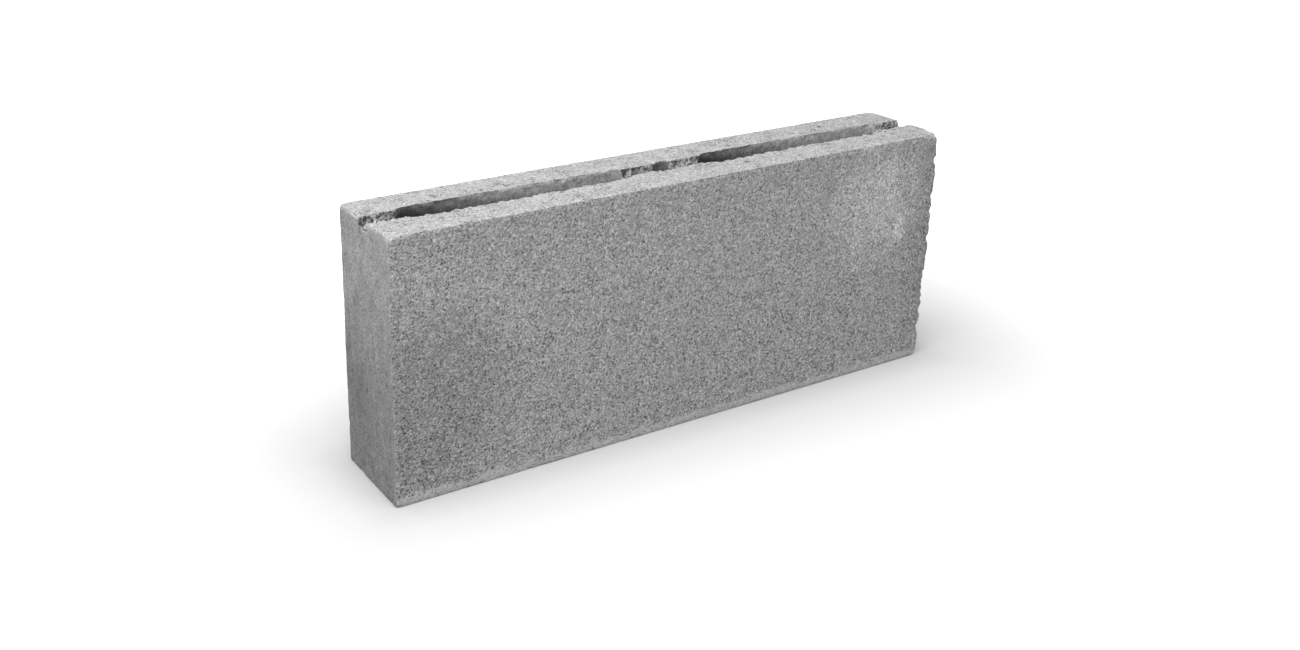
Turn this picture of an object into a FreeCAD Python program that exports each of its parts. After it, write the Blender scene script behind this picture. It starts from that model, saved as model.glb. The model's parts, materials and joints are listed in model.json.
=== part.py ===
import FreeCAD, Part
import os

# A slim hollow concrete block for partition walls, pressed in one piece.
# Millimetres. X runs along the length, Y through the thickness and Z up.
# The origin is the centre of the bottom bed.

# Overall sizes
LENGTH = 500.0
THICKNESS = 80.0
HEIGHT = 200.0
ARRIS_RADIUS = 2.0

# Two long slots, the cores, run from bed to bed
END_WEB = 26.0
CENTRE_WEB = 68.0
CORE_WIDTH = 23.0
CORE_DRAFT = 1.0

# Groove along the top bed, left by the bar that carries the cores
GROOVE_WIDTH = 16.0
GROOVE_DEPTH = 6.0
GROOVE_CORNER = 2.0

# Round hole through the middle web
HOLE_DIAMETER = 20.0

# How far a cutting shape runs past the face it opens on
OVERRUN = 5.0


def blank():
    """The whole outside, with every arris slightly eased."""
    box = Part.makeBox(LENGTH, THICKNESS, HEIGHT, FreeCAD.Vector(-LENGTH / 2, -THICKNESS / 2, 0))
    return box.makeFillet(ARRIS_RADIUS, box.Edges)


def slot_outline(middle_x, length, width, z):
    """A closed outline with two straight sides and half-round ends."""
    radius = width / 2
    left = middle_x - length / 2 + radius
    right = middle_x + length / 2 - radius
    front = Part.LineSegment(FreeCAD.Vector(left, -radius, z), FreeCAD.Vector(right, -radius, z))
    right_end = Part.Arc(
        FreeCAD.Vector(right, -radius, z),
        FreeCAD.Vector(right + radius, 0, z),
        FreeCAD.Vector(right, radius, z),
    )
    back = Part.LineSegment(FreeCAD.Vector(right, radius, z), FreeCAD.Vector(left, radius, z))
    left_end = Part.Arc(
        FreeCAD.Vector(left, radius, z),
        FreeCAD.Vector(left - radius, 0, z),
        FreeCAD.Vector(left, -radius, z),
    )
    return Part.Wire([side.toShape() for side in (front, right_end, back, left_end)])


def core(side):
    """One slot, side -1 or +1: widest at the top bed, so the steel core pulls out upwards."""
    length = (LENGTH - 2 * END_WEB - CENTRE_WEB) / 2
    middle_x = side * (CENTRE_WEB + length) / 2
    outlines = []
    for z in (-OVERRUN, HEIGHT + OVERRUN):
        inset = CORE_DRAFT * (1 - z / HEIGHT)
        outlines.append(slot_outline(middle_x, length - 2 * inset, CORE_WIDTH - 2 * inset, z))
    return Part.makeLoft(outlines, True, True)


def groove():
    """A shallow trough along the whole top bed, with eased bottom corners."""
    run = LENGTH + 2 * OVERRUN
    corner = FreeCAD.Vector(-run / 2, -GROOVE_WIDTH / 2, HEIGHT - GROOVE_DEPTH)
    trough = Part.makeBox(run, GROOVE_WIDTH, GROOVE_DEPTH + OVERRUN, corner)
    low_z = HEIGHT - GROOVE_DEPTH + 0.1
    low_sides = [e for e in trough.Edges if e.BoundBox.XLength > GROOVE_WIDTH and e.BoundBox.ZMax < low_z]
    return trough.makeFillet(GROOVE_CORNER, low_sides)


def centre_hole():
    """A straight round hole from bed to bed."""
    low = FreeCAD.Vector(0, 0, -OVERRUN)
    return Part.makeCylinder(HOLE_DIAMETER / 2, HEIGHT + 2 * OVERRUN, low, FreeCAD.Vector(0, 0, 1))


def block():
    """The finished block."""
    solid = blank()
    for cutter in (core(-1), core(1), centre_hole(), groove()):
        solid = solid.cut(cutter)
    return solid.removeSplitter()


shape = block()
assert shape.isValid() and len(shape.Solids) == 1
os.makedirs("parts", exist_ok=True)
shape.Solids[0].exportStep("parts/block.step")
print("block volume %.4f litres" % (shape.Volume / 1e6))
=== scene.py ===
import json
import math
import random

import bpy
import numpy as np
from mathutils import Matrix, Vector, geometry, noise


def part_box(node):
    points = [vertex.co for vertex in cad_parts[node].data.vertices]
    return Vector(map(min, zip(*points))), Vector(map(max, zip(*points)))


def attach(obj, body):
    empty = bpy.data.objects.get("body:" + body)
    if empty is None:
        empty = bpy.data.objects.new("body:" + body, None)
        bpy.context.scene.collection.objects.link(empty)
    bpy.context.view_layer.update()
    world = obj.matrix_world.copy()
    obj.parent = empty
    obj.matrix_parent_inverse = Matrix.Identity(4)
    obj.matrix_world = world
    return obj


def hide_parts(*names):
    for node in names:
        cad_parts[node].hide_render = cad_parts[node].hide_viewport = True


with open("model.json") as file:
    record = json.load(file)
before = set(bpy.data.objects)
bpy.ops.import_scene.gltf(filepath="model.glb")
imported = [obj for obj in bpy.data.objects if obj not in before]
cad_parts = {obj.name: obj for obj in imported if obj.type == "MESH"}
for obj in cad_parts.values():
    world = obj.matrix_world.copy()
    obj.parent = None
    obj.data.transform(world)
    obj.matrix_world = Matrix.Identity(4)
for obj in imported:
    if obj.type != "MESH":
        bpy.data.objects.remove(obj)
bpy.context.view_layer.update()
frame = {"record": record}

# A slim hollow concrete block, standing on its bottom bed. Metres.
# X runs along the length, Y through the thickness and Z up.

LOW, HIGH = (np.array(corner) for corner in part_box("block"))
LENGTH, THICKNESS, HEIGHT = (float(size) for size in HIGH - LOW)

# The round hole's mount says how wide it is and how far below the top bed it starts
HOLE = next(mount for mount in frame["record"]["mounts"] if mount["name"] == "centre_hole")
HOLE_RADIUS = HOLE["dims"]["r_mm"] / 1000
GROOVE_DEPTH = HEIGHT - HOLE["dims"]["length_mm"] / 1000

END_WEB = 0.026
CENTRE_WEB = 0.068
CORE_RADIUS = 0.0115
CORE_DRAFT = 0.001
CORE_LENGTH = (LENGTH - 2 * END_WEB - CENTRE_WEB) / 2
CORE_MIDDLE = (CENTRE_WEB + CORE_LENGTH) / 2
CORE_STRAIGHT = CORE_LENGTH / 2 - CORE_RADIUS

# The groove's sides lean in a little from its mouth to its floor
GROOVE_MOUTH = 0.008
GROOVE_FLOOR = 0.007
GROOVE_LINES = np.linspace(GROOVE_MOUTH, GROOVE_FLOOR, 4)

# Edges that turn by more than this stay sharp in the shading
SHARP_FROM = math.radians(50)

# How closely the surface is sampled
FACE_STEP = 0.0018
BACK_STEP = 0.0030
BED_STEP = 0.0015
UNDER_STEP = 0.0045
CORE_STEP = 0.0020
HOLE_STEP = 0.0020

# What kind of surface each triangle belongs to
FACE, END, BED, TORN, CORE, UNDER = range(6)

# How far the inner points of the outer walls and the voids' walls may stray, as a share of their room
FACE_STRAY = 0.24
CORE_STRAY = 0.15

# Radius of the arrises everywhere, and what is added to it at each worn place
ARRIS = 0.0008
END_ADDS = 0.0016
END_TOP_ADDS = 0.0012
FOOT_ADDS = 0.0003
CORNER_ADDS = 0.0012
CORNER_TOP_ADDS = 0.0036

# A point that the rounding moves by this much counts as fully worn
FULLY_WORN = 0.0003

# How deep the wear goes
CHIP_DEPTH = 0.0012
NIBBLE_DEPTH = 0.0023
SCALLOP_DEPTH = 0.0019

# The back rims of the voids are scalloped by this share of what the front ones are
BACK_SCALLOP = 0.28

# The deep pit at the left end: its middle, its half sizes and its depth
EXIT_PIT_Y = 0.0057
EXIT_PIT_Z = HEIGHT - 0.0085
EXIT_PIT_WIDE = 0.0016
EXIT_PIT_TALL = 0.0042
EXIT_PIT_DEPTH = 0.0024

# Height of the broad swelling of the faces and ends, and of the tears along the groove
SWELL_HEIGHT = 0.00022
TEAR_HEIGHT = 0.0012

# Height of the grain, depth of the pits and share of cells with a pit, on each kind of surface
GRAIN_HEIGHT = {FACE: 0.00012, END: 0.00008, BED: 0.00026, TORN: 0.00160, CORE: 0.00012, UNDER: 0.00012}
PIT_DEPTH = {FACE: 0.0006, END: 0.0005, BED: 0.0008, TORN: 0.0022}
PIT_SHARE = {FACE: 0.12, END: 0.04, BED: 0.20, TORN: 0.75}
MORE_PITS_LOW = 0.10

chance = random.Random(41)


# ---------------------------------------------------------------- plan of the block

def stations(stops, step):
    """Values from the first stop to the last, through every stop, about a step apart."""
    values = [stops[0]]
    for start, end in zip(stops, stops[1:]):
        parts = max(1, round(abs(end - start) / step))
        values += [start + (end - start) * i / parts for i in range(1, parts + 1)]
    return values


def outer_loop():
    """The outline, anticlockwise, with a point wherever the groove's lines leave it."""
    x, y = LENGTH / 2, THICKNESS / 2
    end_stops = [-y, *(-GROOVE_LINES), *GROOVE_LINES[::-1], y]
    front = [(u, -y) for u in stations([-x, x], FACE_STEP)]
    right = [(x, v) for v in stations(end_stops, FACE_STEP)]
    back = [(u, y) for u in stations([x, -x], BACK_STEP)]
    left = [(-x, v) for v in stations(end_stops[::-1], FACE_STEP)]
    return front[:-1] + right[:-1] + back[:-1] + left[:-1]


def arc(middle_x, radius, start, end, step):
    """Points round part of a circle, with one wherever a groove line crosses it."""
    crossings = []
    for line in GROOVE_LINES:
        lift = math.asin(line / radius)
        for base in (lift, -lift, math.pi - lift, math.pi + lift, -math.pi - lift, -math.pi + lift):
            if min(start, end) < base < max(start, end):
                crossings.append(base)
    stops = [start] + sorted(set(crossings), reverse=end < start) + [end]
    angles = stations(stops, step / radius)
    return [(middle_x + radius * math.cos(a), radius * math.sin(a)) for a in angles]


def core_loop(side):
    """One slot, clockwise."""
    middle = side * CORE_MIDDLE
    left, right = middle - CORE_STRAIGHT, middle + CORE_STRAIGHT
    top = [(u, CORE_RADIUS) for u in stations([left, right], CORE_STEP)]
    right_end = arc(right, CORE_RADIUS, math.pi / 2, -math.pi / 2, CORE_STEP)
    bottom = [(u, -CORE_RADIUS) for u in stations([right, left], CORE_STEP)]
    left_end = arc(left, CORE_RADIUS, -math.pi / 2, -1.5 * math.pi, CORE_STEP)
    return top[:-1] + right_end[:-1] + bottom[:-1] + left_end[:-1]


def hole_loop():
    """The round hole, clockwise."""
    return arc(0.0, HOLE_RADIUS, math.pi, -math.pi, HOLE_STEP)[:-1]


def to_core(x, y):
    """How far a point of the plan is from the nearest slot's wall."""
    beyond = np.maximum(np.abs(np.abs(x) - CORE_MIDDLE) - CORE_STRAIGHT, 0)
    return np.hypot(beyond, y) - CORE_RADIUS


def to_hole(x, y):
    """How far a point of the plan is from the round hole's wall."""
    return np.hypot(x, y) - HOLE_RADIUS


def drafted(loop, middles):
    """The same loop at the bottom bed, drawn in towards the middle line of its slot."""
    moved = []
    for x, y in loop:
        near = min(max(x, middles[0]), middles[1])
        away = math.hypot(x - near, y)
        moved.append((x + (near - x) / away * CORE_DRAFT, y - y / away * CORE_DRAFT))
    return moved


def groove_runs():
    """The groove's lines, from void to void: each is a row of points across one web."""
    runs = []
    for y in [*GROOVE_LINES, *(-GROOVE_LINES)]:
        reach = math.sqrt(CORE_RADIUS ** 2 - y * y)
        outer, inner = CORE_MIDDLE + CORE_STRAIGHT + reach, CORE_MIDDLE - CORE_STRAIGHT - reach
        round_hole = math.sqrt(HOLE_RADIUS ** 2 - y * y)
        for start, end in ((outer, LENGTH / 2), (round_hole, inner)):
            for side in (-1, 1):
                runs.append([(side * u, y) for u in stations([start, end], BED_STEP)])
    return runs


def scattered(step):
    """Loose points over the whole plan, kept off every wall and groove line."""
    points = []
    rows = stations([-THICKNESS / 2 + step / 2, THICKNESS / 2 - step / 2], step * 0.87)
    for number, y in enumerate(rows):
        shift = step / 2 * (number % 2)
        for x in stations([-LENGTH / 2 + step / 2, LENGTH / 2 - step], step):
            points.append((
                x + shift + chance.uniform(-0.22, 0.22) * step,
                y + chance.uniform(-0.22, 0.22) * step,
            ))
    x, y = np.array(points).T
    clear = 0.55 * step
    keep = (to_core(x, y) > clear) & (to_hole(x, y) > clear)
    keep &= (LENGTH / 2 - np.abs(x) > clear) & (THICKNESS / 2 - np.abs(y) > clear)
    middle = (GROOVE_MOUTH + GROOVE_FLOOR) / 2
    keep &= np.abs(np.abs(y) - middle) > (GROOVE_MOUTH - GROOVE_FLOOR) / 2 + clear
    return [point for point, kept in zip(points, keep) if kept]


# ---------------------------------------------------------------- closed mesh

class Skin:
    """Points, triangles and the kind of each triangle, gathered as the skin is sewn."""

    def __init__(self):
        self.points = []
        self.triangles = []
        self.kinds = []

    def add_point(self, x, y, z):
        self.points.append((x, y, z))
        return len(self.points) - 1

    def add_triangle(self, a, b, c, kind):
        self.triangles.append((a, b, c))
        self.kinds.append(kind)

    def add_cap(self, loops, runs, loose, height, kind_at, upward):
        """A flat bed: triangles over the plan, outside the voids. Gives each loop's points."""
        flat, edges, found = [], [], {}

        def index(point):
            key = (round(point[0], 7), round(point[1], 7))
            if key not in found:
                found[key] = len(flat)
                flat.append(Vector(point))
            return found[key]

        rings = [[index(point) for point in loop] for loop in loops]
        for ring in rings:
            edges += list(zip(ring, ring[1:] + ring[:1]))
        for run in runs:
            row = [index(point) for point in run]
            edges += list(zip(row, row[1:]))
        flat += [Vector(point) for point in loose]
        placed, _, faces, came_from, _, _ = geometry.delaunay_2d_cdt(flat, edges, [], 0, 1e-8, True)
        where = {}
        numbers = []
        for new, sources in enumerate(came_from):
            x, y = placed[new]
            numbers.append(self.add_point(x, y, height(y)))
            for source in sources:
                where[source] = numbers[-1]
        for face in faces:
            x, y = (sum(placed[i][axis] for i in face) / 3 for axis in (0, 1))
            if to_core(x, y) < 0 or to_hole(x, y) < 0:
                continue
            a, b, c = (numbers[i] for i in face)
            if upward:
                self.add_triangle(a, b, c, kind_at(y))
            else:
                self.add_triangle(a, c, b, kind_at(y))
        return [[where[i] for i in ring] for ring in rings]

    def add_wall(self, upper, lower, depths, kind_at, wander):
        """A wall between two rings of points, with a row at each depth from 0 to 1."""
        rings = [upper]
        for depth in depths[1:-1]:
            ring = []
            for top, bottom in zip(upper, lower):
                start, end = self.points[top], self.points[bottom]
                ring.append(self.add_point(*(a + (b - a) * depth for a, b in zip(start, end))))
            rings.append(ring)
        rings.append(lower)
        self.loosen(rings, wander)
        count = len(upper)
        for above, below in zip(rings, rings[1:]):
            for i in range(count):
                j = (i + 1) % count
                kind = kind_at(self.points[upper[i]], self.points[upper[j]])
                if chance.random() < 0.5:
                    self.add_triangle(below[i], below[j], above[j], kind)
                    self.add_triangle(below[i], above[j], above[i], kind)
                else:
                    self.add_triangle(below[i], below[j], above[i], kind)
                    self.add_triangle(below[j], above[j], above[i], kind)

    def loosen(self, rings, wander):
        """Shift the inner points a little within the wall, so that no rows show."""
        count = len(rings[0])
        for above, ring, below in zip(rings, rings[1:], rings[2:]):
            fresh = {}
            for i in range(count):
                here = Vector(self.points[ring[i]])
                back = Vector(self.points[ring[i - 1]]) - here
                ahead = Vector(self.points[ring[(i + 1) % count]]) - here
                rise = (Vector(self.points[above[i]]) - Vector(self.points[below[i]])) / 2
                shift = rise * chance.uniform(-wander, wander)
                if back.normalized().dot(ahead.normalized()) < -0.9999:
                    room = min(back.length, ahead.length)
                    shift += ahead.normalized() * room * chance.uniform(-wander, wander)
                fresh[ring[i]] = here + shift
            for number, place in fresh.items():
                self.points[number] = tuple(place)


def bed_height(y):
    """The top bed's height: the shells stand full height, and the groove lies between."""
    inward = (GROOVE_MOUTH - abs(y)) / (GROOVE_MOUTH - GROOVE_FLOOR)
    return HEIGHT - GROOVE_DEPTH * min(max(inward, 0.0), 1.0)


def outer_kind(start, end):
    """Whether a stretch of the outline belongs to an end or to a large face."""
    on_end = abs(abs(start[0]) - LENGTH / 2) < 1e-6 and abs(abs(end[0]) - LENGTH / 2) < 1e-6
    return END if on_end else FACE


def deepening(first, growth, widest):
    """Row depths from 0 to 1, whose steps grow from the top bed downwards."""
    depths, step = [0.0], first
    while depths[-1] < HEIGHT:
        depths.append(depths[-1] + step)
        step = min(step * growth, widest)
    return [depth / depths[-1] for depth in depths]


def sewn_skin():
    """The whole closed surface, still with straight faces and sharp arrises."""
    skin = Skin()
    outer, hole = outer_loop(), hole_loop()
    cores = {side: core_loop(side) for side in (-1, 1)}
    top_loops = [outer, cores[-1], cores[1], hole]
    low_cores = [
        drafted(cores[side], (side * CORE_MIDDLE - CORE_STRAIGHT, side * CORE_MIDDLE + CORE_STRAIGHT))
        for side in (-1, 1)
    ]
    low_loops = [outer, *low_cores, hole]

    def bed_kind(y):
        return TORN if abs(y) < GROOVE_MOUTH else BED

    tops = skin.add_cap(top_loops, groove_runs(), scattered(BED_STEP), bed_height, bed_kind, True)
    lows = skin.add_cap(low_loops, [], scattered(UNDER_STEP), lambda y: 0.0, lambda y: UNDER, False)
    face_rows = round(HEIGHT / FACE_STEP)
    even = [row / face_rows for row in range(face_rows + 1)]
    graded = deepening(first=0.0014, growth=1.09, widest=0.0090)
    skin.add_wall(tops[0], lows[0], even, outer_kind, FACE_STRAY)
    for upper, lower in zip(tops[1:], lows[1:]):
        skin.add_wall(upper, lower, graded, lambda start, end: CORE, CORE_STRAY)
    return skin


# ---------------------------------------------------------------- relief

def ramp(value, start, end):
    """0 before start, 1 after end, eased between."""
    t = np.clip((value - start) / (end - start), 0, 1)
    return t * t * (3 - 2 * t)


def wavy(points, size, seed):
    """Smooth noise from -1 to 1 whose lumps are about this size."""
    places = points / size + np.array((17.31, -9.17, 5.71)) * seed
    return np.array([noise.noise(place) for place in places.tolist()]) * 1.6


def pocked(points, size, seed, share):
    """Round pits: 1 at a pit's middle and 0 outside. Share is how many cells have one."""
    places = points / size + np.array((-3.13, 12.7, 8.9)) * seed
    depth = np.zeros(len(points))
    for number, place in enumerate(places.tolist()):
        near, spots = noise.voronoi(place)
        draw = (noise.cell(spots[0] * 91.7) + 1) / 2
        if draw < share[number]:
            width = 0.35 + 0.3 * draw / max(share[number], 1e-6)
            depth[number] = max(0.0, 1 - (near[0] / width) ** 2)
    return depth


class Surface:
    """The skin as arrays, with the steps that turn straight faces into cast concrete."""

    def __init__(self, skin):
        self.points = np.array(skin.points)
        self.triangles = np.array(skin.triangles)
        self.kinds = np.array(skin.kinds)
        a, b, c = self.triangles.T
        pairs = np.sort(np.concatenate([np.stack(pair, 1) for pair in ((a, b), (b, c), (c, a))]), 1)
        self.edges = np.unique(pairs, axis=0)
        self.flat = self.points.copy()

    def spread(self, values):
        """Each point's average of its neighbours."""
        one, two = self.edges.T
        count = np.bincount(one, minlength=len(values)) + np.bincount(two, minlength=len(values))
        columns = values.reshape(len(values), -1)
        summed = np.stack([
            np.bincount(one, column[two], len(values)) + np.bincount(two, column[one], len(values))
            for column in columns.T
        ], 1)
        return (summed / count[:, None]).reshape(values.shape)

    def normals(self):
        """Each point's outward direction, from the triangles round it."""
        a, b, c = (self.points[self.triangles[:, i]] for i in range(3))
        across = np.cross(b - a, c - a)
        total = np.stack([
            sum(np.bincount(self.triangles[:, i], across[:, axis], len(self.points)) for i in range(3))
            for axis in range(3)
        ], 1)
        return total / np.linalg.norm(total, axis=1)[:, None]

    def share_of(self, kind):
        """How much of each point's surroundings is one kind of surface, from 0 to 1."""
        size = len(self.points)
        hits = (self.kinds == kind).astype(float)
        mine = sum(np.bincount(self.triangles[:, i], hits, size) for i in range(3))
        every = sum(np.bincount(self.triangles[:, i], minlength=size) for i in range(3))
        return mine / every

    def smooth(self, weight, times):
        """Draw each point towards its neighbours by its own weight."""
        for _ in range(times):
            self.points += (self.spread(self.points) - self.points) * weight[:, None]

    def unfold(self, times):
        """Relax the few points where neighbouring triangles have folded over each other."""
        for _ in range(times):
            a, b, c = (self.points[self.triangles[:, i]] for i in range(3))
            across = np.cross(b - a, c - a)
            across /= np.maximum(np.linalg.norm(across, axis=1), 1e-12)[:, None]
            point_normals = self.normals()
            turned = np.zeros(len(self.points))
            for i in range(3):
                corner = self.triangles[:, i]
                facing = np.einsum("ij,ij->i", across, point_normals[corner])
                np.maximum.at(turned, corner, ramp(-facing, -0.35, 0.0))
            self.smooth(0.6 * np.maximum(turned, self.spread(turned)), 1)

    def push(self, amount):
        """Move each point along its normal: above 0 is outwards."""
        self.points += self.normals() * amount[:, None]


def to_right_corner(x, y):
    """How far a point of the plan is from the right front corner."""
    return np.hypot(x - LENGTH / 2, y + THICKNESS / 2)


def towards_ends(x):
    """1 on the two ends and 0 from 6 mm inwards."""
    return ramp(np.abs(x), LENGTH / 2 - 0.006, LENGTH / 2 - 0.001)


def towards_foot(z):
    """1 on the bottom bed and 0 from 6 mm upwards."""
    return ramp(-z, -0.006, 0)


def towards_right(x):
    """0 on the worn left part of the block and 1 from left of the middle onwards."""
    return ramp(x, -0.17, -0.06)


def mixed(kind, values):
    """One value for each kind of surface, blended where kinds meet."""
    return sum(value * kind[name] for name, value in values.items())


def arris_radius(s):
    """Each point's arris radius: larger at the ends, and largest at the right front corner."""
    x, y, z = s.flat.T
    near_end = towards_ends(x)
    near_top = ramp(z, HEIGHT - 0.006, HEIGHT - 0.001)
    near_foot = ramp(-z, -0.008, -0.001)
    near_corner = ramp(-to_right_corner(x, y), -0.020, -0.007)
    corner_top = ramp(z, HEIGHT - 0.030, HEIGHT - 0.006)
    uneven = 0.55 + 0.45 * wavy(s.flat, size=0.013, seed=1)
    radius = ARRIS + END_ADDS * near_end * uneven + END_TOP_ADDS * near_end * near_top
    radius += FOOT_ADDS * near_foot
    radius += near_corner * (CORNER_ADDS * uneven + CORNER_TOP_ADDS * corner_top)
    return radius[:, None]


def round_arrises(s):
    """Ease every outer arris, each by its own radius. Gives how worn each point is."""
    radius = arris_radius(s)
    inner = np.clip(s.points, LOW + radius, HIGH - radius)
    beyond = s.points - inner
    reach = np.linalg.norm(beyond, axis=1)[:, None]
    pulled = np.where(reach > radius, inner + beyond * radius / np.maximum(reach, 1e-9), s.points)
    eased = np.linalg.norm(pulled - s.points, axis=1)
    s.points = pulled
    return s.spread(s.spread(np.clip(eased / FULLY_WORN, 0, 1)))


def soften_edges(s, arris, kind):
    """Take the sharpness off the arrises and the voids' rims, and more of it off the torn groove."""
    x, y, z = s.flat.T
    to_void = np.minimum(to_core(x, y), to_hole(x, y))
    rims = ramp(0.005 - to_void, 0, 0.005) * ramp(z, HEIGHT - 0.015, HEIGHT - 0.002)
    crumbly = ramp(wavy(s.flat, size=0.011, seed=13), -0.1, 0.9)
    s.smooth(0.10 * arris + 0.12 * rims + 0.30 * crumbly * kind[TORN], times=3)


def chip_arrises(s, arris):
    """Bites out of the arrises, most of them at the ends and the foot."""
    x, _, z = s.flat.T
    bites = wavy(s.flat, size=0.0075, seed=2) + 0.7 * wavy(s.flat, size=0.0042, seed=3)
    often = 0.35 - 0.25 * towards_right(x) + towards_ends(x) + 0.7 * towards_foot(z)
    s.push(-CHIP_DEPTH * ramp(bites, 0.15, 1.2) * arris * often)


def nibble_corner(s):
    """The right front corner is nibbled all the way down."""
    x, y, _ = s.flat.T
    bites = 0.8 * wavy(s.flat, size=0.0080, seed=4) + 0.9 * wavy(s.flat, size=0.0042, seed=14)
    at_corner = ramp(-to_right_corner(x, y), -0.008, -0.001)
    s.push(-NIBBLE_DEPTH * at_corner * ramp(bites, -0.5, 0.9))


def scallop_rims(s):
    """The voids' rims are scalloped where grains dragged away with the steel cores."""
    x, y, z = s.flat.T
    by_hole = np.abs(x) < CENTRE_WEB / 3
    along = np.clip(np.abs(x) - CORE_MIDDLE, -CORE_STRAIGHT, CORE_STRAIGHT)
    middle_x = np.where(by_hole, 0, np.sign(x) * (CORE_MIDDLE + along))
    outward = np.stack([x - middle_x, y, 0 * z], 1)
    outward /= np.maximum(np.linalg.norm(outward, axis=1), 1e-6)[:, None]
    to_void = np.where(by_hole, to_hole(x, y), to_core(x, y))
    lip = ramp(0.0042 - np.abs(to_void), 0, 0.004) * ramp(z, HEIGHT - 0.0085, HEIGHT - 0.003)
    scallop = 0.8 * wavy(s.flat, size=0.0060, seed=5) + 1.2 * wavy(s.flat, size=0.0034, seed=6)
    share = np.where(y < 0, 1.0, BACK_SCALLOP)
    s.points += outward * (SCALLOP_DEPTH * (scallop + 0.10) * lip * share)[:, None]


def roughen(s, arris, kind):
    """Broad unevenness, then grain, then pits. Gives how deep in a pit each point lies."""
    x, _, z = s.flat.T
    swell = SWELL_HEIGHT * wavy(s.flat, size=0.060, seed=7) * (kind[FACE] + kind[END])
    grain = wavy(s.flat, size=0.0046, seed=8) + 0.6 * wavy(s.flat, size=0.0027, seed=9)
    tears = TEAR_HEIGHT * kind[TORN] * wavy(s.flat, size=0.0085, seed=10)
    share = mixed(kind, PIT_SHARE) + MORE_PITS_LOW * ramp(-z, -0.17, -0.08) * kind[FACE]
    pits = pocked(s.flat, size=0.0052, seed=1, share=np.clip(share, 0, 1))
    crisp = 1 - 0.85 * arris * (1 - towards_ends(x)) * (1 - towards_foot(z)) * towards_right(x)
    relief = mixed(kind, GRAIN_HEIGHT) * grain - mixed(kind, PIT_DEPTH) * pits
    s.push(swell + crisp * relief + tears)
    return pits * (kind[FACE] + kind[BED] + kind[END] + kind[TORN])


def sink_exit_pit(s):
    """One deep pit under the groove's way out at the left end. Gives how deep in it each point lies."""
    x, y, z = s.flat.T
    away = np.hypot((y - EXIT_PIT_Y) / EXIT_PIT_WIDE, (z - EXIT_PIT_Z) / EXIT_PIT_TALL)
    deep = ramp(-away, -1.3, -0.2) * (x < -LENGTH / 2 + 0.002)
    s.push(-EXIT_PIT_DEPTH * deep)
    return deep


def cast_surface(skin):
    """Worn arrises and rough faces. Gives the surface, where it is hollow and where it crumbles."""
    s = Surface(skin)
    x, _, z = s.flat.T
    kind = {name: s.spread(s.share_of(name)) for name in (FACE, END, BED, TORN, CORE, UNDER)}
    arris = round_arrises(s)
    soften_edges(s, arris, kind)
    chip_arrises(s, arris)
    nibble_corner(s)
    scallop_rims(s)
    hollow = roughen(s, arris, kind)
    hollow = np.clip(hollow + sink_exit_pit(s), 0, 1)
    s.unfold(times=12)
    s.points = np.clip(s.points, LOW, HIGH)
    loose = towards_ends(x) + towards_foot(z) + 0.6 * (1 - towards_right(x))
    return s, hollow, arris * np.clip(loose, 0, 1)


# ---------------------------------------------------------------- shader groups

def new_group(name, inputs, outputs):
    """A shader node group with named sockets. Gives the tree, its inputs and its outputs."""
    tree = bpy.data.node_groups.new(name, "ShaderNodeTree")
    for socket, kind, default in inputs:
        made = tree.interface.new_socket(socket, in_out="INPUT", socket_type=kind)
        if default is not None:
            made.default_value = default
    for socket, kind in outputs:
        tree.interface.new_socket(socket, in_out="OUTPUT", socket_type=kind)
    return tree, tree.nodes.new("NodeGroupInput"), tree.nodes.new("NodeGroupOutput")


def node(tree, kind, links=None, **settings):
    """A node with its settings, and its inputs set or linked by name or number."""
    made = tree.nodes.new(kind)
    for name, value in settings.items():
        setattr(made, name, value)
    for socket, value in (links or {}).items():
        if isinstance(value, bpy.types.NodeSocket):
            tree.links.new(value, made.inputs[socket])
        else:
            made.inputs[socket].default_value = value
    return made


def maths(tree, operation, first, second=0.0, clamp=False):
    """The result of one sum on two values."""
    made = node(tree, "ShaderNodeMath", {0: first, 1: second}, operation=operation, use_clamp=clamp)
    return made.outputs[0]


def between(tree, value, low, high, start=0.0, end=1.0):
    """Map a value from low..high to start..end, held at both ends."""
    made = node(tree, "ShaderNodeMapRange", {0: value, 1: low, 2: high, 3: start, 4: end})
    return made.outputs[0]


def blended(tree, share, first, second):
    """A colour between two others."""
    made = node(tree, "ShaderNodeMix", data_type="RGBA")
    for socket, value in ((made.inputs[0], share), (made.inputs[6], first), (made.inputs[7], second)):
        if isinstance(value, bpy.types.NodeSocket):
            tree.links.new(value, socket)
        else:
            socket.default_value = value
    return made.outputs[2]


def vector_maths(tree, operation, *vectors):
    """The node for one sum on vectors."""
    return node(tree, "ShaderNodeVectorMath", dict(enumerate(vectors)), operation=operation)


def scaled(tree, vector, factor):
    """A vector or a colour, multiplied by a factor."""
    made = vector_maths(tree, "SCALE", vector)
    tree.links.new(factor, made.inputs["Scale"])
    return made.outputs[0]


def scaled_place(tree, place, size):
    """Coordinates counted in lumps of the given size."""
    return scaled(tree, place, maths(tree, "DIVIDE", 1.0, size))


def parts_of(tree, vector):
    """A vector's three parts."""
    return node(tree, "ShaderNodeSeparateXYZ", {0: vector}).outputs


def cloudy(tree, place, scale, detail, roughness):
    """Smooth noise that wavers about a half."""
    values = {"Vector": place, "Scale": scale, "Detail": detail, "Roughness": roughness}
    return node(tree, "ShaderNodeTexNoise", values).outputs["Fac"]


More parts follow.
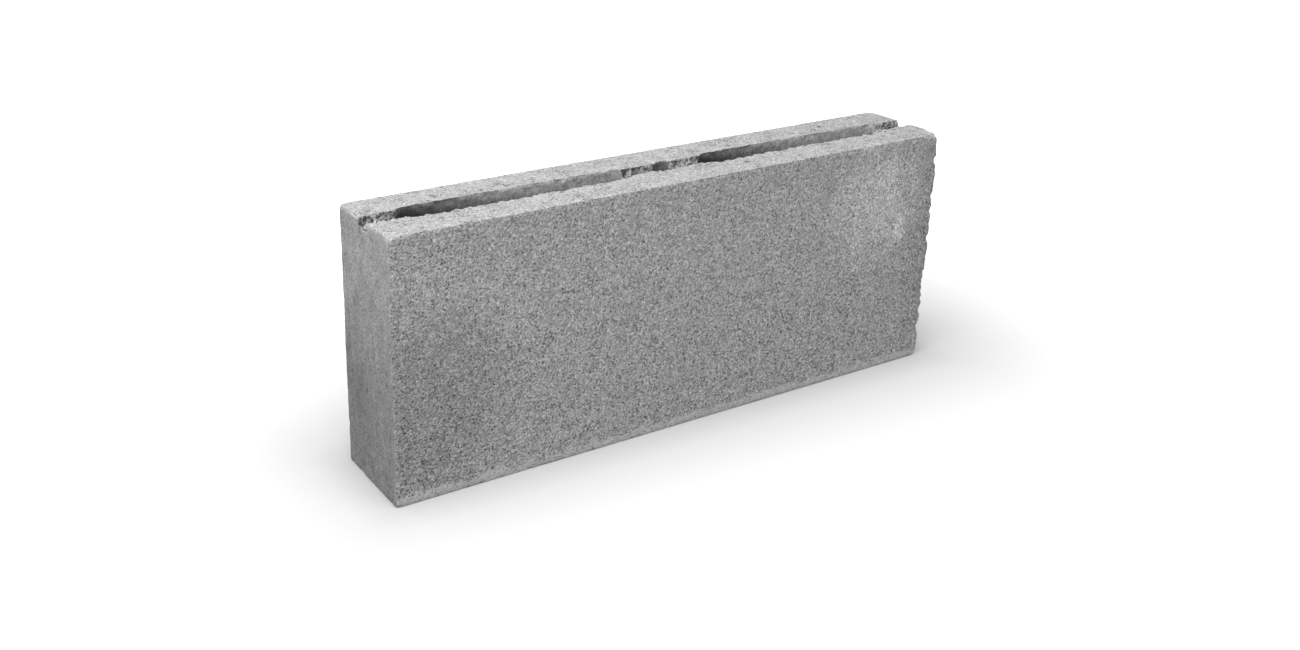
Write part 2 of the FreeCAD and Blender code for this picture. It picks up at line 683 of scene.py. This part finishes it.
def grain_group():
    """Sand and cement: each grain has its own tone and stands a little proud."""
    tree, given, out = new_group(
        "cement_grain",
        [("Vector", "NodeSocketVector", None), ("Size", "NodeSocketFloat", 0.002)],
        [("Tone", "NodeSocketFloat"), ("Height", "NodeSocketFloat")],
    )
    place = scaled_place(tree, given.outputs["Vector"], given.outputs["Size"])
    cells = node(tree, "ShaderNodeTexVoronoi", {"Vector": place, "Scale": 1.0})
    fine = cloudy(tree, place, scale=0.9, detail=4.0, roughness=0.7)
    cell_tone = node(tree, "ShaderNodeSeparateColor", {"Color": cells.outputs["Color"]}).outputs[0]
    fine_tone = between(tree, fine, 0.34, 0.66)
    tone = maths(tree, "MULTIPLY", maths(tree, "ADD", cell_tone, fine_tone), 0.5)
    dome = between(tree, cells.outputs["Distance"], 0.1, 0.8, 1.0, 0.0)
    rounded = maths(tree, "MULTIPLY", dome, 0.6)
    height = maths(tree, "ADD", rounded, maths(tree, "MULTIPLY", fine_tone, 0.4))
    tree.links.new(tone, out.inputs["Tone"])
    tree.links.new(height, out.inputs["Height"])
    return tree


def void_group():
    """Ragged pores, more of them where Amount is high, with Seams round the grains beside. The finishes
    darken this mask as painted shade in the pores and seams.
    """
    tree, given, out = new_group(
        "open_voids",
        [
            ("Vector", "NodeSocketVector", None),
            ("Size", "NodeSocketFloat", 0.002),
            ("Amount", "NodeSocketFloat", 0.5),
            ("Seams", "NodeSocketFloat", 0.0),
        ],
        [("Mask", "NodeSocketFloat")],
    )
    place = scaled_place(tree, given.outputs["Vector"], given.outputs["Size"])
    ragged = cloudy(tree, place, scale=1.0, detail=3.0, roughness=0.7)
    broad = cloudy(tree, place, scale=0.22, detail=1.0, roughness=0.5)
    gathered = between(tree, broad, 0.3, 0.7, -0.035, 0.035)
    level = between(tree, given.outputs["Amount"], 0.0, 1.0, 0.26, 0.52)
    gap = maths(tree, "SUBTRACT", maths(tree, "ADD", level, gathered), ragged)
    around = {"Vector": place, "Scale": 0.6}
    grains = node(tree, "ShaderNodeTexVoronoi", around, feature="DISTANCE_TO_EDGE")
    seam = between(tree, grains.outputs["Distance"], 0.05, 0.20, 1.0, 0.0)
    beside = maths(tree, "MULTIPLY", between(tree, gap, -0.09, -0.02), given.outputs["Seams"])
    crack = maths(tree, "MULTIPLY", seam, beside)
    mask = maths(tree, "MAXIMUM", between(tree, gap, 0.0, 0.05), crack)
    tree.links.new(mask, out.inputs["Mask"])
    return tree


def speck_group():
    """Scattered odd grains of stone: a share of the cells carries one."""
    tree, given, out = new_group(
        "stone_specks",
        [
            ("Vector", "NodeSocketVector", None),
            ("Size", "NodeSocketFloat", 0.005),
            ("Share", "NodeSocketFloat", 0.2),
        ],
        [("Mask", "NodeSocketFloat")],
    )
    place = scaled_place(tree, given.outputs["Vector"], given.outputs["Size"])
    cells = node(tree, "ShaderNodeTexVoronoi", {"Vector": place, "Scale": 1.0})
    draw = node(tree, "ShaderNodeSeparateColor", {"Color": cells.outputs["Color"]}).outputs[1]
    chosen = maths(tree, "LESS_THAN", draw, given.outputs["Share"])
    spot = between(tree, cells.outputs["Distance"], 0.16, 0.30, 1.0, 0.0)
    tree.links.new(maths(tree, "MULTIPLY", chosen, spot), out.inputs["Mask"])
    return tree


def cloud_group():
    """Slow drifts of tone over a whole face, as the mix dried unevenly."""
    tree, given, out = new_group(
        "drying_clouds",
        [
            ("Vector", "NodeSocketVector", None),
            ("Size", "NodeSocketFloat", 0.06),
            ("Upright", "NodeSocketFloat", 1.0),
        ],
        [("Tone", "NodeSocketFloat")],
    )
    x, y, z = parts_of(tree, given.outputs["Vector"])
    squeezed = maths(tree, "DIVIDE", z, given.outputs["Upright"])
    drawn = node(tree, "ShaderNodeCombineXYZ", {0: x, 1: y, 2: squeezed})
    place = scaled_place(tree, drawn.outputs[0], given.outputs["Size"])
    cloud = cloudy(tree, place, scale=1.0, detail=3.0, roughness=0.5)
    tree.links.new(between(tree, cloud, 0.3, 0.7), out.inputs["Tone"])
    return tree


# Size of the lumps along a patch's ragged edge
PATCH_EDGE = 0.018


def patch_group():
    """A soft patch with a ragged edge, such as a stain or a place of painted shade."""
    tree, given, out = new_group(
        "ragged_patch",
        [
            ("Vector", "NodeSocketVector", None),
            ("Centre", "NodeSocketVector", None),
            ("Reach", "NodeSocketVector", (0.1, 0.1, 0.1)),
            ("Ragged", "NodeSocketFloat", 0.2),
        ],
        [("Mask", "NodeSocketFloat")],
    )
    vector = given.outputs["Vector"]
    away = vector_maths(tree, "SUBTRACT", vector, given.outputs["Centre"]).outputs[0]
    counted = vector_maths(tree, "DIVIDE", away, given.outputs["Reach"]).outputs[0]
    radius = vector_maths(tree, "LENGTH", counted).outputs["Value"]
    place = scaled_place(tree, vector, PATCH_EDGE)
    rough = cloudy(tree, place, scale=1.0, detail=4.0, roughness=0.6)
    swing = between(tree, rough, 0.3, 0.7, -1.0, 1.0)
    wander = maths(tree, "MULTIPLY", swing, given.outputs["Ragged"])
    total = maths(tree, "ADD", radius, wander)
    tree.links.new(between(tree, total, 0.55, 1.15, 1.0, 0.0), out.inputs["Mask"])
    return tree


GROUPS = {
    "grain": grain_group(),
    "voids": void_group(),
    "specks": speck_group(),
    "clouds": cloud_group(),
    "patch": patch_group(),
}


def use(tree, group, **values):
    """Place one of the groups in a material, with its own values."""
    made = tree.nodes.new("ShaderNodeGroup")
    made.node_tree = GROUPS[group]
    for name, value in values.items():
        if isinstance(value, bpy.types.NodeSocket):
            tree.links.new(value, made.inputs[name])
        else:
            made.inputs[name].default_value = value
    return made.outputs


# ---------------------------------------------------------------- concrete finishes

# How glossy dry concrete is, and the height that a bump of 1 stands for
DULL_GLOSS = 0.25
BUMP_UNIT = 0.001


def grey(level):
    """A colour of equal parts."""
    return (level, level, level, 1.0)


class Finish:
    """A concrete material being mixed: its colour and height are built up in layers."""

    def __init__(self, name):
        self.material = bpy.data.materials.new(name)
        self.material.use_nodes = True
        self.tree = self.material.node_tree
        self.tree.nodes.clear()
        self.place = node(self.tree, "ShaderNodeTexCoord").outputs["Object"]
        self.colour = None
        self.height = None

    def mask(self, name):
        """A value painted on the mesh's points."""
        return node(self.tree, "ShaderNodeAttribute", attribute_name=name).outputs["Fac"]

    def toned(self, tone, dark, light):
        """A grey that runs from dark to light with a tone."""
        self.colour = blended(self.tree, tone, grey(dark), grey(light))

    def layer(self, mask, level, strength):
        """Lay a grey over the colour, where the mask says."""
        share = maths(self.tree, "MULTIPLY", mask, strength, clamp=True)
        self.colour = blended(self.tree, share, self.colour, grey(level))

    def shaded(self, tone, low, high):
        """Multiply the colour by a factor that follows a tone."""
        factor = between(self.tree, tone, 0.0, 1.0, low, high)
        self.colour = scaled(self.tree, self.colour, factor)

    def raised(self, value, amount):
        """Add to the height, in millimetres."""
        part = maths(self.tree, "MULTIPLY", value, amount)
        self.height = part if self.height is None else maths(self.tree, "ADD", self.height, part)

    def done(self, roughness, strength):
        """Put the shader on, with its bump from the height. Gives the material."""
        bump = node(
            self.tree, "ShaderNodeBump",
            {"Height": self.height, "Distance": BUMP_UNIT, "Strength": strength},
        )
        shader = node(
            self.tree, "ShaderNodeBsdfPrincipled",
            {"Base Color": self.colour, "Roughness": roughness, "Normal": bump.outputs[0]},
        )
        shader.inputs["Specular IOR Level"].default_value = DULL_GLOSS
        out = node(self.tree, "ShaderNodeOutputMaterial")
        self.tree.links.new(shader.outputs[0], out.inputs[0])
        return self.material


# Where the large faces are paler or darker: middle, reach, raggedness and the change. The darker patch
# at the front's lower left is painted shade.
FACE_PATCHES = (
    ((0.184, -0.040, 0.150), (0.046, 0.02, 0.052), 0.42, 1.28),
    ((0.212, -0.040, 0.122), (0.006, 0.02, 0.013), 0.25, 1.32),
    ((0.196, -0.040, 0.160), (0.010, 0.02, 0.030), 0.40, 1.12),
    # painted shade: the front face darker at its lower left
    ((-0.240, -0.040, 0.070), (0.085, 0.02, 0.080), 0.22, 0.80),
    ((0.246, -0.040, 0.120), (0.024, 0.02, 0.110), 0.20, 0.88),
    ((-0.160, 0.040, 0.140), (0.070, 0.02, 0.045), 0.35, 1.10),
    ((0.170, 0.040, 0.050), (0.090, 0.02, 0.050), 0.30, 0.88),
)


def stains_and_shade(f):
    """The paler and darker places of the large faces, the one at the front's lower left being painted
    shade.
    """
    for centre, reach, ragged, factor in FACE_PATCHES:
        patch = use(f.tree, "patch", Vector=f.place, Centre=centre, Reach=reach, Ragged=ragged)
        f.shaded(patch["Mask"], low=1.0, high=factor)


# Where the pale skirt at the foot stops, at its lowest and highest, and how soft its edge is
SKIRT_LOWEST = 0.0035
SKIRT_HIGHEST = 0.0105
SKIRT_EDGE = 0.0008


def skirted(f, height):
    """A pale, ragged skirt of fines just above the bottom bed."""
    t = f.tree
    wandering = use(t, "clouds", Vector=f.place, Size=0.014, Upright=0.5)
    skirt_top = between(t, wandering["Tone"], 0.0, 1.0, SKIRT_LOWEST, SKIRT_HIGHEST)
    above_skirt = maths(t, "SUBTRACT", height, skirt_top)
    f.layer(between(t, above_skirt, SKIRT_EDGE, -SKIRT_EDGE), level=0.60, strength=0.66)


def pressed_face():
    """The large faces: close sand grains, some gaps between them and a few pale stones. Painted shade
    darkens the gaps, the pits and a band along the top.
    """
    f = Finish("pressed_face")
    t = f.tree
    height = parts_of(t, f.place)[2]
    grain = use(t, "grain", Vector=f.place, Size=0.0017)
    fine = use(t, "grain", Vector=f.place, Size=0.0010)
    clouds = use(t, "clouds", Vector=f.place, Size=0.05, Upright=1.8)
    stones = use(t, "specks", Vector=f.place, Size=0.0100, Share=0.45)
    top_band_shade = between(t, height, 0.15, 0.19)
    more_low = between(t, height, 0.06, HEIGHT, 0.58, 0.45)
    amount = maths(t, "ADD", more_low, between(t, clouds["Tone"], 0.0, 1.0, -0.06, 0.06))
    voids = use(t, "voids", Vector=f.place, Size=0.0018, Amount=amount, Seams=0.2)
    specks = use(t, "specks", Vector=f.place, Size=0.0060, Share=0.20)
    crumbs = maths(t, "MULTIPLY", f.mask("crumbs"), between(t, grain["Tone"], 0.35, 0.7))
    f.toned(grain["Tone"], dark=0.24, light=0.62)
    f.shaded(fine["Tone"], low=0.37, high=1.62)
    f.shaded(clouds["Tone"], low=0.95, high=1.05)
    f.layer(stones["Mask"], level=0.42, strength=0.6)
    # painted shade in the gaps between grains
    f.layer(voids["Mask"], level=0.06, strength=0.80)
    # painted shade: the band along the top of the large faces is made a little darker
    f.shaded(top_band_shade, low=1.0, high=0.93)
    # painted shade in the pits
    f.layer(f.mask("hollow"), level=0.22, strength=0.15)
    f.layer(specks["Mask"], level=0.72, strength=0.7)
    f.layer(crumbs, level=0.60, strength=0.5)
    stains_and_shade(f)
    skirted(f, height)
    f.raised(grain["Height"], amount=0.40)
    f.raised(fine["Height"], amount=0.20)
    f.raised(voids["Mask"], amount=-0.8)
    return f.done(between(t, grain["Tone"], 0.0, 1.0, 0.97, 0.86), strength=0.9)


# Painted shade on the ends: none above the first height, and full below the second
UNSHADED_ABOVE = 0.185
FULL_SHADE_BELOW = 0.08


def end_face():
    """The ends: smooth fines rubbed up by the mould, with upright drag marks, and painted shade that
    darkens them lower down, most towards the back.
    """
    f = Finish("rubbed_end")
    t = f.tree
    fine = use(t, "grain", Vector=f.place, Size=0.0013)
    f.toned(fine["Tone"], dark=0.18, light=0.61)
    mottle = use(t, "clouds", Vector=f.place, Size=0.0065, Upright=1.8)
    f.shaded(mottle["Tone"], low=0.85, high=1.15)
    streaks = use(t, "clouds", Vector=f.place, Size=0.006, Upright=9.0)
    f.shaded(streaks["Tone"], low=0.93, high=1.07)
    clouds = use(t, "clouds", Vector=f.place, Size=0.04, Upright=1.5)
    f.shaded(clouds["Tone"], low=0.93, high=1.07)
    _, y, z = parts_of(t, f.place)
    uneven_height = maths(t, "ADD", z, maths(t, "MULTIPLY", clouds["Tone"], 0.03))
    # painted shade: the ends darker towards the bottom
    low_shade = between(t, uneven_height, UNSHADED_ABOVE, FULL_SHADE_BELOW)
    f.shaded(low_shade, low=1.0, high=0.70)
    # painted shade: darker still towards the back, lower down
    back = between(t, y, -0.004, 0.010)
    f.shaded(maths(t, "MULTIPLY", back, low_shade), low=1.0, high=0.90)
    voids = use(t, "voids", Vector=f.place, Size=0.0026, Amount=0.16)
    # painted shade in the pores
    f.layer(voids["Mask"], level=0.14, strength=0.6)
    # painted shade in the pits
    f.layer(f.mask("hollow"), level=0.10, strength=0.6)
    f.layer(f.mask("crumbs"), level=0.52, strength=0.30)
    f.raised(fine["Height"], amount=0.18)
    f.raised(streaks["Tone"], amount=0.15)
    f.raised(voids["Mask"], amount=-0.6)
    return f.done(between(t, streaks["Tone"], 0.0, 1.0, 0.95, 0.86), strength=0.8)


def bed_face():
    """The beds: fine and granular, with small pits darkened by painted shade, and pale crumbs."""
    f = Finish("bed")
    t = f.tree
    grain = use(t, "grain", Vector=f.place, Size=0.0014)
    fine = use(t, "grain", Vector=f.place, Size=0.0009)
    f.toned(grain["Tone"], dark=0.30, light=0.58)
    f.shaded(fine["Tone"], low=0.52, high=1.50)
    clouds = use(t, "clouds", Vector=f.place, Size=0.022, Upright=1.0)
    f.shaded(clouds["Tone"], low=0.94, high=1.05)
    amount = between(t, clouds["Tone"], 0.0, 1.0, 0.46, 0.20)
    voids = use(t, "voids", Vector=f.place, Size=0.0020, Amount=amount, Seams=0.8)
    # painted shade in the pores and seams
    f.layer(voids["Mask"], level=0.08, strength=0.75)
    # painted shade in the pits
    f.layer(f.mask("hollow"), level=0.12, strength=0.70)
    specks = use(t, "specks", Vector=f.place, Size=0.0075, Share=0.16)
    f.layer(specks["Mask"], level=0.64, strength=0.6)
    f.raised(grain["Height"], amount=0.45)
    f.raised(fine["Height"], amount=0.20)
    f.raised(voids["Mask"], amount=-0.8)
    return f.done(between(t, grain["Tone"], 0.0, 1.0, 0.98, 0.88), strength=0.9)


# A slot's or the hole's painted shade reaches this far past its wall, and is gone a little further on
SHADE_REACH = 0.002
SHADE_FADED = 0.004

# Painted shade along a slot: full up to the first distance from its left end, and gone by the second
END_SHADE_FULL = 0.010
END_SHADE_GONE = 0.145


def shaded_slot_ends(f, along, sunk):
    """Painted shade: each slot's wall is made nearly black at its left end, and less dark to the right
    and near the top.
    """
    t = f.tree
    for side in (-1, 1):
        start = side * CORE_MIDDLE - CORE_LENGTH / 2
        off_middle = maths(t, "ABSOLUTE", maths(t, "SUBTRACT", along, side * CORE_MIDDLE))
        in_slot = between(t, off_middle, CORE_LENGTH / 2 + SHADE_FADED, CORE_LENGTH / 2 + SHADE_REACH)
        unshaded_along = maths(t, "ADD", between(t, along, start + END_SHADE_FULL, start + END_SHADE_GONE), 0.12)
        unshaded = maths(t, "SUBTRACT", unshaded_along, maths(t, "MULTIPLY", sunk, 0.45))
        end_shade = maths(t, "MULTIPLY", in_slot, between(t, unshaded, 0.0, 0.75, 1.0, 0.0))
        f.shaded(end_shade, low=1.0, high=0.10)


def core_wall():
    """Walls of the slots and the hole: wiped upwards by the steel cores, with painted shade at the
    slots' left ends, deeper down and in the hole, and a little painted light just below the top.
    """
    f = Finish("core_wall")
    t = f.tree
    fine = use(t, "grain", Vector=f.place, Size=0.0014)
    f.toned(fine["Tone"], dark=0.22, light=0.58)
    streaks = use(t, "clouds", Vector=f.place, Size=0.004, Upright=8.0)
    f.shaded(streaks["Tone"], low=0.88, high=1.10)
    voids = use(t, "voids", Vector=f.place, Size=0.0026, Amount=0.26)
    # painted shade in the pores
    f.layer(voids["Mask"], level=0.10, strength=0.6)
    x, _, z = parts_of(t, f.place)
    sunk = between(t, z, HEIGHT - 0.002, HEIGHT - 0.020)
    shaded_slot_ends(f, x, sunk)
    # painted light just below the top, and painted shade deeper down
    f.shaded(sunk, low=1.08, high=0.48)
    # painted shade on the hole's wall
    in_hole = between(t, maths(t, "ABSOLUTE", x), HOLE_RADIUS + SHADE_FADED, HOLE_RADIUS + SHADE_REACH)
    f.shaded(in_hole, low=1.0, high=0.36)
    f.raised(fine["Height"], amount=0.25)
    f.raised(voids["Mask"], amount=-0.6)
    return f.done(between(t, streaks["Tone"], 0.0, 1.0, 0.97, 0.88), strength=0.8)


# How far from its middle line the groove's floor ends and its sides begin
FLOOR_ENDS = 0.0052
SIDES_BEGIN = 0.0068


def torn_web():
    """The groove: torn concrete, full of holes where the bar pulled out of the wet mix, with painted
    shade on its sides, in its pores and in its pits.
    """
    f = Finish("torn_groove")
    t = f.tree
    grain = use(t, "grain", Vector=f.place, Size=0.0024)
    f.toned(grain["Tone"], dark=0.22, light=0.68)
    sideways = maths(t, "ABSOLUTE", parts_of(t, f.place)[1])
    # painted shade: the groove's sides darker than its floor
    f.shaded(between(t, sideways, FLOOR_ENDS, SIDES_BEGIN), low=1.0, high=0.82)
    voids = use(t, "voids", Vector=f.place, Size=0.0026, Amount=0.84)
    # painted shade in the pores
    f.layer(voids["Mask"], level=0.06, strength=0.9)
    # painted shade in the pits
    f.layer(f.mask("hollow"), level=0.08, strength=0.65)
    specks = use(t, "specks", Vector=f.place, Size=0.0050, Share=0.22)
    f.layer(specks["Mask"], level=0.62, strength=0.8)
    f.raised(grain["Height"], amount=0.5)
    f.raised(voids["Mask"], amount=-1.2)
    return f.done(between(t, grain["Tone"], 0.0, 1.0, 0.98, 0.88), strength=1.0)


# ---------------------------------------------------------------- the block

def block_piece():
    """The whole block, with a finish on each kind of surface."""
    surface, hollow, crumbs = cast_surface(sewn_skin())
    mesh = bpy.data.meshes.new("block_cast")
    mesh.from_pydata(surface.points.tolist(), [], surface.triangles.tolist())
    for name, values in (("hollow", hollow), ("crumbs", crumbs)):
        layer = mesh.attributes.new(name, "FLOAT", "POINT")
        layer.data.foreach_set("value", values.astype(np.float32))
    # In the order of the kinds of surface. The bottom bed shares the top bed's finish.
    for finish in (pressed_face(), end_face(), bed_face(), torn_web(), core_wall()):
        mesh.materials.append(finish)
    slots = np.where(surface.kinds == UNDER, BED, surface.kinds)
    mesh.polygons.foreach_set("material_index", slots.astype(np.int32))
    mesh.polygons.foreach_set("use_smooth", np.ones(len(slots), bool))
    mesh.update()
    mesh.set_sharp_from_angle(angle=SHARP_FROM)
    piece = bpy.data.objects.new("block_cast", mesh)
    bpy.context.scene.collection.objects.link(piece)
    return piece


# ---------------------------------------------------------------- studio

# The floor's half width, its tones as light sees it and as it is looked at, and the light all round
FLOOR_REACH = 6.0
FLOOR_TONE = 0.30
FLOOR_TONE_SEEN = 0.62
AMBIENT = 0.55

# How far from the block the glow on the floor has its first, quick rise, and where it is white. Holding
# the glow low near the block paints a shadow round its foot.
GLOW_NEAR = 0.030
GLOW_FAR = 0.45


def seen_directly(tree):
    """1 for rays that meet the background straight from the camera, off gloss or through glass."""
    path = node(tree, "ShaderNodeLightPath")
    seen = path.outputs["Is Camera Ray"]
    for name in ("Is Glossy Ray", "Is Transmission Ray"):
        seen = maths(tree, "MAXIMUM", seen, path.outputs[name])
    return seen


def off_footprint(tree):
    """How far a place on the floor is from the block's footprint."""
    parts = parts_of(tree, node(tree, "ShaderNodeTexCoord").outputs["Object"])
    past = node(tree, "ShaderNodeCombineXYZ")
    for axis, size in ((0, LENGTH), (1, THICKNESS)):
        outside = maths(tree, "SUBTRACT", maths(tree, "ABSOLUTE", parts[axis]), size / 2)
        tree.links.new(maths(tree, "MAXIMUM", outside, 0.0), past.inputs[axis])
    return vector_maths(tree, "LENGTH", past.outputs[0]).outputs["Value"]


def floor_paper():
    """Pale paper. What is seen of it has a glow that grows to white away from the block, so that a
    painted shadow lies round the block's foot.
    """
    material = bpy.data.materials.new("studio_floor")
    material.use_nodes = True
    tree = material.node_tree
    tree.nodes.clear()
    away = off_footprint(tree)
    # painted shadow: the glow is held low close to the block
    near = between(tree, away, 0.0, GLOW_NEAR, 0.0, 0.14)
    far = between(tree, away, GLOW_NEAR, GLOW_FAR, 0.0, 0.86)
    strength = maths(tree, "ADD", near, far)
    glow = node(tree, "ShaderNodeEmission", {"Color": grey(1.0), "Strength": strength})
    paper = node(tree, "ShaderNodeBsdfDiffuse", {"Color": grey(FLOOR_TONE)})
    pale = node(tree, "ShaderNodeBsdfDiffuse", {"Color": grey(FLOOR_TONE_SEEN)})
    lit = node(tree, "ShaderNodeAddShader", {0: pale.outputs[0], 1: glow.outputs[0]})
    seen = seen_directly(tree)
    mixed_paper = node(tree, "ShaderNodeMixShader", {0: seen, 1: paper.outputs[0], 2: lit.outputs[0]})
    out = node(tree, "ShaderNodeOutputMaterial")
    tree.links.new(mixed_paper.outputs[0], out.inputs[0])
    return material


def studio_floor():
    """A plain floor under the block, which takes its shadow, with a painted shadow added round its
    foot.
    """
    reach = FLOOR_REACH
    mesh = bpy.data.meshes.new("studio_floor")
    corners = [(-reach, -reach, 0), (reach, -reach, 0), (reach, reach, 0), (-reach, reach, 0)]
    mesh.from_pydata(corners, [], [(0, 1, 2, 3)])
    mesh.materials.append(floor_paper())
    floor = bpy.data.objects.new("studio_floor", mesh)
    bpy.context.scene.collection.objects.link(floor)


def studio_world():
    """Even pale surroundings, white where they are seen directly."""
    world = bpy.data.worlds.new("studio")
    bpy.context.scene.world = world
    world.use_nodes = True
    tree = world.node_tree
    tree.nodes.clear()
    around = node(tree, "ShaderNodeBackground", {"Color": grey(1.0), "Strength": AMBIENT})
    white = node(tree, "ShaderNodeBackground", {"Color": grey(1.0), "Strength": 1.0})
    seen = seen_directly(tree)
    either = node(tree, "ShaderNodeMixShader", {0: seen, 1: around.outputs[0], 2: white.outputs[0]})
    out = node(tree, "ShaderNodeOutputWorld")
    tree.links.new(either.outputs[0], out.inputs[0])


def soft_lamp(name, place, aim, size, power):
    """A rectangular lamp, pointed at a place."""
    lamp = bpy.data.lights.new(name, "AREA")
    lamp.shape = "RECTANGLE"
    lamp.size, lamp.size_y = size
    lamp.energy = power
    thing = bpy.data.objects.new(name, lamp)
    thing.location = place
    thing.rotation_euler = (Vector(aim) - Vector(place)).to_track_quat("-Z", "Y").to_euler()
    bpy.context.scene.collection.objects.link(thing)


def studio_camera():
    """Looks down on the left front of the block."""
    around, above, away = math.radians(-36.8), math.radians(22.3), 1.052
    turned, tipped, rolled = math.radians(-31.1), math.radians(19.6), math.radians(0.43)
    middle = Vector((0, 0, HEIGHT / 2))
    out = Vector((
        math.sin(around) * math.cos(above), -math.cos(around) * math.cos(above), math.sin(above),
    ))
    lens = bpy.data.cameras.new("studio_camera")
    lens.sensor_width = 36.0
    lens.lens = 37.05
    lens.shift_x, lens.shift_y = 0.086, -0.08
    lens.dof.use_dof = False
    camera = bpy.data.objects.new("studio_camera", lens)
    turn = Matrix.Rotation(turned, 4, "Z") @ Matrix.Rotation(math.pi / 2 - tipped, 4, "X")
    camera.matrix_world = (
        Matrix.Translation(middle + out * away) @ turn @ Matrix.Rotation(rolled, 4, "Z")
    )
    bpy.context.scene.collection.objects.link(camera)
    bpy.context.scene.camera = camera


block = block_piece()
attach(block, "root")
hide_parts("block")

studio_floor()
studio_world()
soft_lamp("overhead", place=(-0.55, -0.45, 1.45), aim=(0, 0, 0.1), size=(1.7, 1.5), power=27.0)
studio_camera()
bpy.context.scene.view_settings.view_transform = "Standard"
